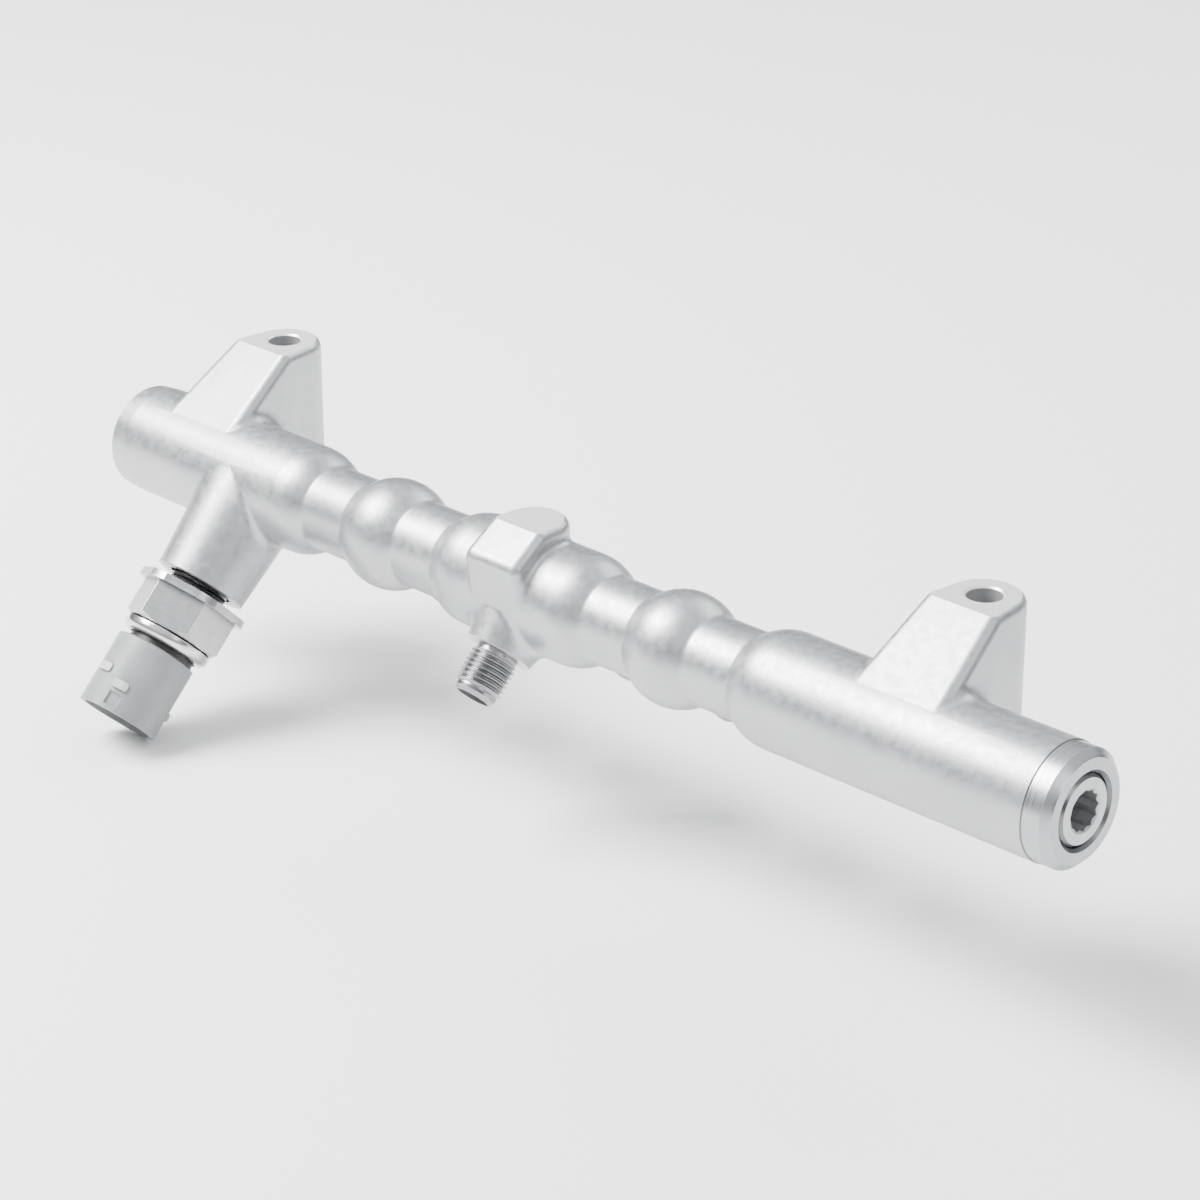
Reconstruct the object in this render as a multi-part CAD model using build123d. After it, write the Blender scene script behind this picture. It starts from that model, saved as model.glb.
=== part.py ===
from build123d import *
import math
import os

# A forged high-pressure fuel rail with six outlets, a side inlet, a pressure sensor and two posts.
# Every piece is modelled about the axis of the rail: X runs along the rail, Z is up and the inlet
# is at X = 0. TO_PART then moves each piece so that the origin lies midway between the two
# mounting bolts, on the seat plane under the posts. All sizes are in millimetres.

# Rail bar
RAIL_OD = 33.0
NECK_OD = 25.6
BULGES_PER_SIDE = 3
NECK_FILLET = 2.5
LEFT_LENGTH = 166.9
RIGHT_LENGTH = 191.7
LEFT_TAPER_LENGTH = 5.9
LEFT_FACE_OD = 32.0
TURNED_LENGTH = 7.7
TURNED_STEP = 0.3
END_CHAMFER = 2.1
RAIL_BORE = 11.0
BORE_PAST_SENSOR = 9.0
DRILL_POINT_ANGLE = 118.0

# Bolt posts
POST_INSET = 31.05
POST_OFFSET = 28.4
POST_TOP = 32.0
POST_SEAT_STEP = 0.5
POST_RADIUS = 11.0
POST_FRONT = 10.1
POST_SEAT_FRONT = 10.1
POST_SIDE_TAPER = 7.0
POST_UNDERSIDE_LEAN = 25.0
POST_ROUND = 3.0
POST_FOOT_FILLET = 4.0
BOLT_HOLE = 9.8
BOLT_HOLE_CHAMFER = 0.55
FORGING_ALLOWANCE = 0.5
TANGENT_BITE = 0.2

# Centre pad
PAD_RISE = 5.1
PAD_RADIUS = 10.0
PAD_FRONT = 7.1
PAD_SIDE_TAPER = 2.0
PAD_SLOPE = 33.5
PAD_FACE_ANGLE = 187.0
PAD_NOSE_ROUND = 4.0
PAD_ROUND = 3.0
PAD_FOOT_FILLET = 2.2
PAD_ALLOWANCE = 0.35

# Connector bosses: one inlet at the front, one outlet on the back of each bulge
BOSS_RISE = 4.0
INLET_TILT = 45.0
INLET_RIM_OD = 19.7
INLET_DRAFT = 13.6
INLET_FILLET = 4.0
OUTLET_TILT = 46.0
OUTLET_RIM_OD = 16.6
OUTLET_DRAFT = 5.0
OUTLET_FILLET = 2.0
CONNECTOR_SEAT = 12.5
CONNECTOR_SHANK_OD = 12.2
CONNECTOR_THREAD_OD = 14.0
CONNECTOR_RELIEF = 1.2
CONNECTOR_LENGTH = 14.5
CONNECTOR_TIP_CHAMFER = 1.2
CONNECTOR_TIP_LENGTH = 2.0
CONNECTOR_CONE_OD = 10.0
CONNECTOR_CONE_ANGLE = 60.0
FUEL_PASSAGE = 3.0
THROTTLE_OD = 4.2
THROTTLE_LENGTH = 6.0
THROTTLE_ORIFICE = 0.9
THROTTLE_LEAD = 0.4

# End plug
PLUG_THREAD_OD = 20.0
PLUG_LENGTH = 20.0
PLUG_SETBACK = 0.1
PLUG_EDGE = 1.15
PLUG_MOUTH_OD = 21.84
PLUG_NOSE_ANGLE = 120.0
SOCKET_FLATS = 10.0
SOCKET_DEPTH = 9.0
SOCKET_LEAD_OD = 12.2
SOCKET_LEAD_ANGLE = 130.0

# Sensor boss on the rail
SENSOR_FROM_POST = 20.55
BULGE_FROM_SENSOR = 21.175
SENSOR_TILT = 45.0
SENSOR_BOSS_FACE = 36.8
SENSOR_BOSS_STEP = 2.4
SENSOR_BOSS_DRAFT = 3.6
SENSOR_BOSS_FILLET = 3.0
SENSOR_RECESS_OD = 20.2
SENSOR_RECESS_DEPTH = 3.0
SENSOR_THREAD_OD = 18.0
SENSOR_SEAT = 22.0
SENSOR_NOSE_ANGLE = 120.0

# Pressure sensor
SENSOR_CLOCK = 30.0
FLANGE_BOTTOM = 40.3
FLANGE_THICKNESS = 2.3
FLANGE_FLATS = 32.5
FLANGE_OD = 34.6
HEX_FLATS = 27.0
HEX_LENGTH = 11.9
HEX_CHAMFER = 1.5
HEX_CORNER_OD = 31.0
HEX_BORE = 20.0
STUB_OD = 11.0
STUB_HEIGHT = 3.0
MEMBRANE_HEIGHT = 2.2
MEMBRANE_BORE = 5.0
MEMBRANE_THICKNESS = 0.4
CARRIER_WALL = 1.2
CARRIER_HEIGHT = 7.6
BOARD_THICKNESS = 1.0
COLLAR_GAP = 0.6
COLLAR_OD = 27.6
COLLAR_MOUTH_OD = 21.9
COLLAR_HEIGHT = 4.2
COLLAR_ROLL = 2.5
COLLAR_WALL = 1.4
SEAL_SECTION = 1.6
BASE_THICKNESS = 2.6
NECK_DIAMETER = 20.8
SHELL_START = 60.3
SHELL_END = 83.75
SHELL_OD = 24.9
SHELL_OFFSET = 1.25
SHELL_SHOULDER = 0.65
SHELL_WALL = 1.5
SHELL_FLOOR = 3.2
PEG_WIDTH = 5.0
PEG_HEIGHT = 2.65
PEG_PROUD = 0.8
PEG_CORNER = 0.8
PEG_RAMP = 1.5
PEG_RAMP_DROP = 0.5
UPPER_PEG_ANGLE = 100.0
UPPER_PEG_MIDDLE = 72.4
LOWER_PEG_ANGLE = 63.2
LOWER_PEG_MIDDLE = 75.6
SIDE_PEG_ANGLE = -67.0
SIDE_PEG_MIDDLE = 75.8
POCKET_WIDTH = 4.8
POCKET_HEIGHT = 4.7
POCKET_DEPTH = 0.8
POCKET_DRAFT = 42.0
POCKET_MIDDLE = 80.4
TERMINAL_COUNT = 3
TERMINAL_PITCH = 4.6
TERMINAL_WIDTH = 2.0
TERMINAL_THICKNESS = 0.8
TERMINAL_TIP = 76.0

# Fits
RUNNING_CLEARANCE = 0.03

# Worked out from the sizes above
RAIL_R = RAIL_OD / 2
NECK_R = NECK_OD / 2
POST_SEAT_DROP = RAIL_R + POST_SEAT_STEP
PAD_TOP = RAIL_R + PAD_RISE
BOSS_FACE = RAIL_R + BOSS_RISE
FLANGE_TOP = FLANGE_BOTTOM + FLANGE_THICKNESS
HEX_TOP = FLANGE_TOP + HEX_LENGTH
SENSOR_INSET = POST_INSET + SENSOR_FROM_POST
BULGE_INSET = SENSOR_INSET + BULGE_FROM_SENSOR
BULGE_PITCH = (LEFT_LENGTH - BULGE_INSET) / (BULGES_PER_SIDE - 0.5)
OUTLET_X = [BULGE_PITCH * (i + 0.5) for i in range(-BULGES_PER_SIDE, BULGES_PER_SIDE)]
POST_X = [POST_INSET - LEFT_LENGTH, LEFT_LENGTH - POST_INSET]
SENSOR_X = SENSOR_INSET - LEFT_LENGTH
ON_BASE = (Align.CENTER, Align.CENTER, Align.MIN)
FRONT, BACK = -1, 1
TO_PART = Location((0, -POST_OFFSET, POST_SEAT_DROP))


def port_frame(x, side, tilt):
    """Frame on the rail axis whose Z points out to a side, FRONT or BACK, and down by tilt."""
    lean = math.radians(tilt)
    outward = (0, side * math.cos(lean), -math.sin(lean))
    return Plane(origin=(x, 0, 0), x_dir=(1, 0, 0), z_dir=outward).location


def inlet_frame():
    """Frame of the inlet port."""
    return port_frame(0, FRONT, INLET_TILT)


def outlet_frame(x):
    """Frame of an outlet port."""
    return port_frame(x, BACK, OUTLET_TILT)


def sensor_frame():
    """Frame of the sensor port."""
    return port_frame(SENSOR_X, FRONT, SENSOR_TILT)


def turned(*points):
    """A turned solid about Z from its half section, given as (radius, height) points."""
    outline = Polyline(*[(radius, height) for radius, height in points], close=True)
    return revolve(Plane.XZ * make_face(outline), Axis.Z)


def cone_length(radius_change, full_angle):
    """Length of a cone of that full angle over which the radius changes by radius_change."""
    return radius_change / math.tan(math.radians(full_angle / 2))


def rail_bar():
    """The forged bar: full round ends and middle, with round bulges and filleted necks between."""
    reach = math.sqrt(RAIL_R**2 - NECK_R**2)
    swing = math.degrees(math.acos(NECK_R / RAIL_R))
    turned_r = RAIL_R - TURNED_STEP
    upper = Polyline(
        (OUTLET_X[0], RAIL_R),
        (-LEFT_LENGTH + LEFT_TAPER_LENGTH, RAIL_R),
        (-LEFT_LENGTH, LEFT_FACE_OD / 2),
        (-LEFT_LENGTH, 0),
        (RIGHT_LENGTH, 0),
        (RIGHT_LENGTH, turned_r - END_CHAMFER),
        (RIGHT_LENGTH - END_CHAMFER, turned_r),
        (RIGHT_LENGTH - TURNED_LENGTH + TURNED_STEP, turned_r),
        (RIGHT_LENGTH - TURNED_LENGTH, RAIL_R),
        (OUTLET_X[-1], RAIL_R),
    )
    outline = upper.edges()
    for left, right in zip(OUTLET_X[:-1], OUTLET_X[1:]):
        if left < 0 < right:
            outline.append(Line((left, RAIL_R), (right, RAIL_R)).edge())
            continue
        outline.append(CenterArc((left, 0), RAIL_R, 90 - swing, swing).edge())
        outline.append(Line((left + reach, NECK_R), (right - reach, NECK_R)).edge())
        outline.append(CenterArc((right, 0), RAIL_R, 90, swing).edge())
    section = make_face(outline)
    inner_corners = section.vertices().filter_by(lambda v: abs(v.Y - NECK_R) < 0.001)
    section = fillet(inner_corners, NECK_FILLET)
    return revolve(section, Axis.X)


def post_plan(radius, taper, reach):
    """Plan of a post: round behind its centre, with flanks that open out by taper towards -Y."""
    angle = math.radians(taper)
    half, back = radius * math.cos(angle), radius * math.sin(angle)
    wide = half + (reach + back) * math.tan(angle)
    flanks = Polyline((-half, back), (-wide, -reach), (wide, -reach), (half, back), close=True)
    return make_face(flanks) + Circle(radius)


def boss_round(raw, radius):
    """A raw post with its outer edges rounded; its upright seams and its buried edges stay."""
    outside = raw.edges().filter_by(Axis.Z, reverse=True)
    outside = outside.filter_by(lambda e: math.hypot(e.center().Y, e.center().Z) > RAIL_R)
    return fillet(outside, radius)


def post_blank(plan, side, low, high):
    """A plan carried up from low to high and trimmed by its side view."""
    width = plan.bounding_box().size.X
    column = Pos(0, 0, low) * extrude(plan, high - low)
    return column & extrude(Plane.YZ * side, width, both=True)


def slab(low, high):
    """A wide slab that keeps what lies between two levels, as the milled faces do."""
    span = 4 * (POST_OFFSET + RAIL_OD)
    return Pos(0, 0, (low + high) / 2) * Box(span, span, high - low)


def bolt_post():
    """One post with its web: the front slopes down to a tangent of the bar, both ends are milled."""
    top = POST_TOP + FORGING_ALLOWANCE
    bottom = -POST_SEAT_DROP - FORGING_ALLOWANCE
    edge = (POST_OFFSET - POST_FRONT, POST_TOP)
    touch = RAIL_R - TANGENT_BITE
    slope = math.acos(touch / math.hypot(*edge)) - math.atan2(edge[0], edge[1])
    lean = math.tan(math.radians(POST_UNDERSIDE_LEAN))
    seat_front = POST_OFFSET - POST_SEAT_FRONT
    behind = POST_OFFSET + 2 * POST_RADIUS
    side = make_face(Polyline(
        (edge[0] + FORGING_ALLOWANCE / math.tan(slope), top),
        (-touch * math.sin(slope), touch * math.cos(slope)),
        (0, 0),
        (seat_front - POST_SEAT_DROP * lean, 0),
        (seat_front + FORGING_ALLOWANCE * lean, bottom),
        (behind, bottom),
        (behind, top),
        close=True,
    ))
    plan = post_plan(POST_RADIUS, POST_SIDE_TAPER, POST_OFFSET + RAIL_R)
    blank = post_blank(Pos(0, POST_OFFSET) * plan, side, bottom, top)
    return boss_round(blank, POST_ROUND) & slab(-POST_SEAT_DROP, POST_TOP)


def centre_pad():
    """The flat pad above the inlet: its nose leans forward and drops back to the bar."""
    top = PAD_TOP + PAD_ALLOWANCE
    slope = math.radians(PAD_SLOPE)
    facing = math.radians(PAD_FACE_ANGLE)
    touch = RAIL_R - TANGENT_BITE
    front_slope = Vector(-math.cos(slope), -math.sin(slope))
    normal = Vector(math.cos(facing), math.sin(facing))
    lip = Vector(-PAD_FRONT, PAD_TOP)
    nose = lip + front_slope * ((touch - lip.dot(normal)) / front_slope.dot(normal))
    behind = 2 * PAD_RADIUS
    side = make_face(Polyline(
        lip - front_slope * (PAD_ALLOWANCE / math.sin(slope)),
        nose,
        normal * touch,
        (0, 0),
        (behind, 0),
        (behind, top),
        close=True,
    ))
    side = fillet(side.vertices().sort_by_distance(nose)[0], PAD_NOSE_ROUND)
    plan = post_plan(PAD_RADIUS, PAD_SIDE_TAPER, RAIL_OD)
    blank = post_blank(plan, side, -RAIL_R, top)
    return boss_round(blank, PAD_ROUND) & slab(-RAIL_R, PAD_TOP)


def cone_boss(face, rim_r, draft):
    """A drafted round boss about Z, from the bar's axis out to its machined face."""
    foot_r = rim_r + face * math.tan(math.radians(draft))
    return turned((0, 0), (foot_r, 0), (rim_r, face), (0, face))


def blend(body, boss, radius):
    """The body with a boss forged on, and the line where they meet filleted."""
    joined = body + boss
    return fillet(new_edges(body, boss, combined=joined), radius)


def connector_hole():
    """Seat and fuel passage of a connector, along Z from the bar's axis."""
    seat = Pos(0, 0, CONNECTOR_SEAT) * Cylinder(
        CONNECTOR_SHANK_OD / 2 + RUNNING_CLEARANCE, BOSS_FACE, align=ON_BASE
    )
    return seat + Cylinder(FUEL_PASSAGE / 2, CONNECTOR_SEAT, align=ON_BASE)


def sensor_hole():
    """Recess, thread and sealing cone of the sensor, along Z from the bar's axis."""
    thread_r = SENSOR_THREAD_OD / 2 + RUNNING_CLEARANCE
    passage_r = FUEL_PASSAGE / 2
    recess = SENSOR_BOSS_FACE - SENSOR_RECESS_DEPTH
    cone = cone_length(thread_r - passage_r, SENSOR_NOSE_ANGLE)
    return turned(
        (0, 0),
        (passage_r, 0),
        (passage_r, SENSOR_SEAT - cone),
        (thread_r, SENSOR_SEAT),
        (thread_r, recess),
        (SENSOR_RECESS_OD / 2, recess),
        (SENSOR_RECESS_OD / 2, SENSOR_BOSS_FACE),
        (0, SENSOR_BOSS_FACE),
    )


def end_hole():
    """Chamfered plug thread, its seat and the long bore, along X from the right end."""
    thread_r = PLUG_THREAD_OD / 2 + RUNNING_CLEARANCE
    mouth_r = PLUG_MOUTH_OD / 2
    seat = RIGHT_LENGTH - PLUG_SETBACK - PLUG_LENGTH
    bore_end = SENSOR_X - BORE_PAST_SENSOR
    section = make_face(Polyline(
        (bore_end - cone_length(RAIL_BORE / 2, DRILL_POINT_ANGLE), 0),
        (bore_end, RAIL_BORE / 2),
        (seat - cone_length(thread_r - RAIL_BORE / 2, PLUG_NOSE_ANGLE), RAIL_BORE / 2),
        (seat, thread_r),
        (RIGHT_LENGTH - (mouth_r - thread_r), thread_r),
        (RIGHT_LENGTH, mouth_r),
        (RIGHT_LENGTH, 0),
        close=True,
    ))
    return revolve(section, Axis.X)


def bolt_hole():
    """A post's through hole, chamfered at its top face."""
    radius = BOLT_HOLE / 2
    return turned(
        (0, -POST_SEAT_DROP),
        (radius, -POST_SEAT_DROP),
        (radius, POST_TOP - BOLT_HOLE_CHAMFER),
        (radius + BOLT_HOLE_CHAMFER, POST_TOP),
        (0, POST_TOP),
    )


def rail_body():
    """The forging with its posts, pad and bosses, then drilled."""
    body = rail_bar()
    post = bolt_post()
    for x in POST_X:
        body = blend(body, Pos(x, 0, 0) * post, POST_FOOT_FILLET)
    inlet_boss = cone_boss(BOSS_FACE, INLET_RIM_OD / 2, INLET_DRAFT)
    body = blend(body, inlet_frame() * inlet_boss, INLET_FILLET)
    body = blend(body, centre_pad(), PAD_FOOT_FILLET)
    outlet_boss = cone_boss(BOSS_FACE, OUTLET_RIM_OD / 2, OUTLET_DRAFT)
    for x in OUTLET_X:
        body = blend(body, outlet_frame(x) * outlet_boss, OUTLET_FILLET)
    sensor_boss = cone_boss(SENSOR_BOSS_FACE, RAIL_R - SENSOR_BOSS_STEP, SENSOR_BOSS_DRAFT)
    body = blend(body, sensor_frame() * sensor_boss, SENSOR_BOSS_FILLET)
    holes = [Pos(x, POST_OFFSET, 0) * bolt_hole() for x in POST_X]
    holes += [outlet_frame(x) * connector_hole() for x in OUTLET_X]
    holes += [inlet_frame() * connector_hole(), sensor_frame() * sensor_hole(), end_hole()]
    return body - holes


def connector():
    """A threaded connector along Z: a shank in the boss, a relief groove, and a cone mouth."""
    shank_r = CONNECTOR_SHANK_OD / 2
    thread_r = CONNECTOR_THREAD_OD / 2
    passage_r = FUEL_PASSAGE / 2
    pocket_r = THROTTLE_OD / 2 + RUNNING_CLEARANCE
    pocket = CONNECTOR_SEAT + THROTTLE_LENGTH + THROTTLE_LEAD
    thread = BOSS_FACE + CONNECTOR_RELIEF
    tip = BOSS_FACE + CONNECTOR_LENGTH
    mouth_r = CONNECTOR_CONE_OD / 2
    return turned(
        (pocket_r, CONNECTOR_SEAT),
        (shank_r, CONNECTOR_SEAT),
        (shank_r, thread),
        (thread_r, thread),
        (thread_r, tip - CONNECTOR_TIP_LENGTH),
        (thread_r - CONNECTOR_TIP_CHAMFER, tip),
        (mouth_r, tip),
        (passage_r, tip - cone_length(mouth_r - passage_r, CONNECTOR_CONE_ANGLE)),
        (passage_r, pocket),
        (pocket_r, pocket),
    )


def throttle():
    """A pressed-in restrictor in the foot of a connector."""
    radius = THROTTLE_OD / 2
    bottom, top = CONNECTOR_SEAT, CONNECTOR_SEAT + THROTTLE_LENGTH
    return turned(
        (THROTTLE_ORIFICE / 2, bottom),
        (radius, bottom),
        (radius, top - THROTTLE_LEAD),
        (radius - THROTTLE_LEAD, top),
        (THROTTLE_ORIFICE / 2, top),
    )


def end_plug():
    """The screw plug along Z, its face at Z = 0: thread, sealing nose and twelve-point socket."""
    radius = PLUG_THREAD_OD / 2
    nose_r = RAIL_BORE / 2
    nose = cone_length(radius - nose_r, PLUG_NOSE_ANGLE)
    blank = turned(
        (0, 0),
        (radius - PLUG_EDGE, 0),
        (radius, -PLUG_EDGE),
        (radius, -PLUG_LENGTH),
        (nose_r, -PLUG_LENGTH - nose),
        (0, -PLUG_LENGTH - nose),
    )
    hexagon = RegularPolygon(SOCKET_FLATS / 2, 6, major_radius=False)
    twelve_point = hexagon + Rot(0, 0, 30) * hexagon
    socket = Pos(0, 0, -SOCKET_DEPTH) * extrude(twelve_point, SOCKET_DEPTH)
    lead_r = SOCKET_LEAD_OD / 2
    flats_r = SOCKET_FLATS / 2
    lead_depth = cone_length(lead_r - flats_r, SOCKET_LEAD_ANGLE)
    lead = turned((0, 0), (lead_r, 0), (flats_r, -lead_depth), (0, -lead_depth))
    point = cone_length(flats_r, DRILL_POINT_ANGLE)
    floor = turned((0, -SOCKET_DEPTH), (flats_r, -SOCKET_DEPTH), (0, -SOCKET_DEPTH - point))
    return blank - socket - lead - floor


def hexagon_bar(flats, low, high):
    """A hexagon prism along Z, turned to the sensor's clocking."""
    outline = RegularPolygon(flats / 2, 6, major_radius=False, rotation=SENSOR_CLOCK)
    return Pos(0, 0, low) * extrude(outline, high - low)


def sensor_port():
    """Threaded shank with its sealing cone, the hexagon flange and the stub for the element."""
    thread_r = SENSOR_THREAD_OD / 2
    passage_r = FUEL_PASSAGE / 2
    cone = cone_length(thread_r - passage_r, SENSOR_NOSE_ANGLE)
    nose_r = thread_r / 2
    nose = SENSOR_SEAT - cone_length(thread_r - nose_r, SENSOR_NOSE_ANGLE)
    shank = turned(
        (0, nose),
        (nose_r, nose),
        (thread_r, SENSOR_SEAT),
        (thread_r, FLANGE_TOP),
        (STUB_OD / 2, FLANGE_TOP),
        (STUB_OD / 2, FLANGE_TOP + STUB_HEIGHT),
        (0, FLANGE_TOP + STUB_HEIGHT),
    )
    disc = Pos(0, 0, FLANGE_BOTTOM) * Cylinder(FLANGE_OD / 2, FLANGE_THICKNESS, align=ON_BASE)
    flange = disc & hexagon_bar(FLANGE_FLATS, FLANGE_BOTTOM, FLANGE_TOP)
    passage = Pos(0, 0, nose) * Cylinder(passage_r, FLANGE_TOP + STUB_HEIGHT - nose, align=ON_BASE)
    return shank + flange - passage


def sensor_membrane():
    """The steel element on the stub: a cup whose thin roof bends under fuel pressure."""
    base = FLANGE_TOP + STUB_HEIGHT
    top = base + MEMBRANE_HEIGHT
    roof = top - MEMBRANE_THICKNESS
    return turned(
        (MEMBRANE_BORE / 2, base),
        (STUB_OD / 2, base),
        (STUB_OD / 2, top),
        (0, top),
        (0, roof),
        (MEMBRANE_BORE / 2, roof),
    )


def sensor_hex_body():
    """The hexagon housing: chamfered like a nut at its outer end, open through the middle."""
    corner_r = HEX_CORNER_OD / 2
    turned_blank = turned(
        (HEX_BORE / 2, FLANGE_TOP),
        (corner_r, FLANGE_TOP),
        (corner_r, HEX_TOP - HEX_CHAMFER),
        (HEX_FLATS / 2, HEX_TOP),
        (HEX_BORE / 2, HEX_TOP),
    )
    return turned_blank & hexagon_bar(HEX_FLATS, FLANGE_TOP, HEX_TOP)


def sensor_board_carrier():
    """Plastic ring that stands on the flange round the element and holds the board."""
    outer_r = HEX_BORE / 2 - RUNNING_CLEARANCE
    return turned(
        (outer_r - CARRIER_WALL, FLANGE_TOP),
        (outer_r, FLANGE_TOP),
        (outer_r, FLANGE_TOP + CARRIER_HEIGHT),
        (outer_r - CARRIER_WALL, FLANGE_TOP + CARRIER_HEIGHT),
    )


def sensor_circuit_board():
    """Round board on the carrier."""
    radius = HEX_BORE / 2 - 2 * RUNNING_CLEARANCE
    board = Cylinder(radius, BOARD_THICKNESS, align=ON_BASE)
    return Pos(0, 0, FLANGE_TOP + CARRIER_HEIGHT) * board


def sensor_crimp_collar():
    """The rolled collar: it stands on the hexagon and curls in over the plug housing's base."""
    outer_r = COLLAR_OD / 2
    mouth_r = COLLAR_MOUTH_OD / 2
    base = HEX_TOP + COLLAR_GAP
    top = HEX_TOP + COLLAR_HEIGHT
    roof = HEX_TOP + BASE_THICKNESS
    inner_r = outer_r - COLLAR_WALL
    section = make_face(Polyline(
        (inner_r, HEX_TOP),
        (HEX_FLATS / 2 - COLLAR_GAP, HEX_TOP),
        (outer_r, base),
        (outer_r, top),
        (mouth_r, top),
        (mouth_r, roof),
        (inner_r, roof),
        close=True,
    ))
    foot = section.vertices().sort_by_distance((outer_r, base))[0]
    section = fillet(foot, COLLAR_GAP)
    rim = section.vertices().sort_by_distance((outer_r, top))[0]
    return revolve(Plane.XZ * fillet(rim, COLLAR_ROLL), Axis.Z)


def shell_peg(angle, middle):
    """A locking peg on the plug housing's shell, its one end ramped."""
    foot, top = SHELL_OD / 2 - SHELL_WALL / 2, SHELL_OD / 2 + PEG_PROUD
    half = PEG_WIDTH / 2
    side = make_face(Polyline(
        (foot, half),
        (foot, -half),
        (top - PEG_RAMP_DROP, -half),
        (top, PEG_RAMP - half),
        (top, half),
        close=True,
    ))
    plan = RectangleRounded(PEG_WIDTH, PEG_HEIGHT, PEG_CORNER)
    peg = extrude(side, PEG_HEIGHT / 2, both=True) & extrude(Plane.YZ * plan, top)
    return Pos(0, 0, middle) * Rot(0, 0, angle) * peg


def shell_pocket(angle, middle):
    """The drafted square pocket in the shell, below a peg."""
    mouth = Plane(origin=(SHELL_OD / 2, 0, 0), x_dir=(0, 1, 0), z_dir=(-1, 0, 0))
    opening = mouth * Rectangle(POCKET_WIDTH, POCKET_HEIGHT)
    cut = extrude(opening, POCKET_DEPTH, taper=POCKET_DRAFT)
    return Pos(0, 0, middle) * Rot(0, 0, angle) * cut


def sensor_connector():
    """Moulded plug housing: base disc, neck, and an open shell with its pegs and pocket."""
    base_r = COLLAR_OD / 2 - COLLAR_WALL - RUNNING_CLEARANCE
    floor = SHELL_START + SHELL_FLOOR
    base = Pos(0, 0, HEX_TOP) * Cylinder(base_r, BASE_THICKNESS, align=ON_BASE)
    neck = Pos(0, 0, HEX_TOP) * Cylinder(NECK_DIAMETER / 2, SHELL_START - HEX_TOP, align=ON_BASE)
    shell = turned(
        (0, SHELL_START),
        (NECK_DIAMETER / 2, SHELL_START),
        (SHELL_OD / 2, SHELL_START + SHELL_SHOULDER),
        (SHELL_OD / 2, SHELL_END),
        (SHELL_OD / 2 - SHELL_WALL, SHELL_END),
        (SHELL_OD / 2 - SHELL_WALL, floor),
        (0, floor),
    )
    shell += shell_peg(UPPER_PEG_ANGLE, UPPER_PEG_MIDDLE)
    shell += shell_peg(LOWER_PEG_ANGLE, LOWER_PEG_MIDDLE)
    shell += shell_peg(SIDE_PEG_ANGLE, SIDE_PEG_MIDDLE)
    shell -= shell_pocket(LOWER_PEG_ANGLE, POCKET_MIDDLE)
    housing = base + neck + Pos(0, SHELL_OFFSET, 0) * shell
    return housing - [terminal_slot(i) for i in range(TERMINAL_COUNT)]


def terminal_place(index):
    """Place of a terminal in the row across the plug, where it stands on the circuit board."""
    across = (index - (TERMINAL_COUNT - 1) / 2) * TERMINAL_PITCH
    return Pos(across, SHELL_OFFSET, FLANGE_TOP + CARRIER_HEIGHT + BOARD_THICKNESS)


def terminal_slot(index):
    """The opening of one terminal through the base and floor of the plug housing."""
    clear = 2 * RUNNING_CLEARANCE
    width, thickness = TERMINAL_WIDTH + clear, TERMINAL_THICKNESS + clear
    return terminal_place(index) * Box(width, thickness, SHELL_END, align=ON_BASE)


def sensor_terminal(index):
    """One contact blade, from the circuit board into the shell, with a tapered tip."""
    start = FLANGE_TOP + CARRIER_HEIGHT + BOARD_THICKNESS
    blade = Box(TERMINAL_WIDTH, TERMINAL_THICKNESS, TERMINAL_TIP - start, align=ON_BASE)
    tip = blade.faces().sort_by(Axis.Z)[-1]
    return terminal_place(index) * chamfer(tip.edges(), TERMINAL_THICKNESS / 4)


def sensor_seal_ring():
    """Seal under the base of the plug housing, in the bore of the hexagon."""
    middle = HEX_BORE / 2 - RUNNING_CLEARANCE - SEAL_SECTION / 2
    section = Pos(middle, HEX_TOP - SEAL_SECTION / 2) * Circle(SEAL_SECTION / 2)
    return revolve(Plane.XZ * section, Axis.Z)


def all_pieces():
    """Every piece by name, about the rail's axis."""
    pieces = {"rail_body": rail_body()}
    face = Plane(origin=(RIGHT_LENGTH - PLUG_SETBACK, 0, 0), x_dir=(0, 1, 0), z_dir=(1, 0, 0))
    pieces["end_plug"] = face.location * end_plug()
    one_connector, one_throttle = connector(), throttle()
    pieces["inlet_connector"] = inlet_frame() * one_connector
    pieces["inlet_throttle"] = inlet_frame() * one_throttle
    for number, x in enumerate(OUTLET_X, start=1):
        pieces[f"outlet_connector_{number}"] = outlet_frame(x) * one_connector
        pieces[f"outlet_throttle_{number}"] = outlet_frame(x) * one_throttle
    sensor = {
        "sensor_port": sensor_port(),
        "sensor_membrane": sensor_membrane(),
        "sensor_hex_body": sensor_hex_body(),
        "sensor_board_carrier": sensor_board_carrier(),
        "sensor_circuit_board": sensor_circuit_board(),
        "sensor_seal_ring": sensor_seal_ring(),
        "sensor_crimp_collar": sensor_crimp_collar(),
        "sensor_connector": sensor_connector(),
    }
    for index in range(TERMINAL_COUNT):
        sensor[f"sensor_terminal_{index + 1}"] = sensor_terminal(index)
    for name, piece in sensor.items():
        pieces[name] = sensor_frame() * piece
    return pieces


if __name__ == "__main__":
    os.makedirs("parts", exist_ok=True)
    for name, piece in all_pieces().items():
        export_step(TO_PART * piece, f"parts/{name}.step")
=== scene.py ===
"""Dresses a fuel rail: finishes for every solid, cut threads, floor, light and camera."""

import logging
import math
from dataclasses import dataclass
from enum import Enum
from typing import Union

import bpy
import numpy as np
from mathutils import Matrix, Vector

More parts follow.
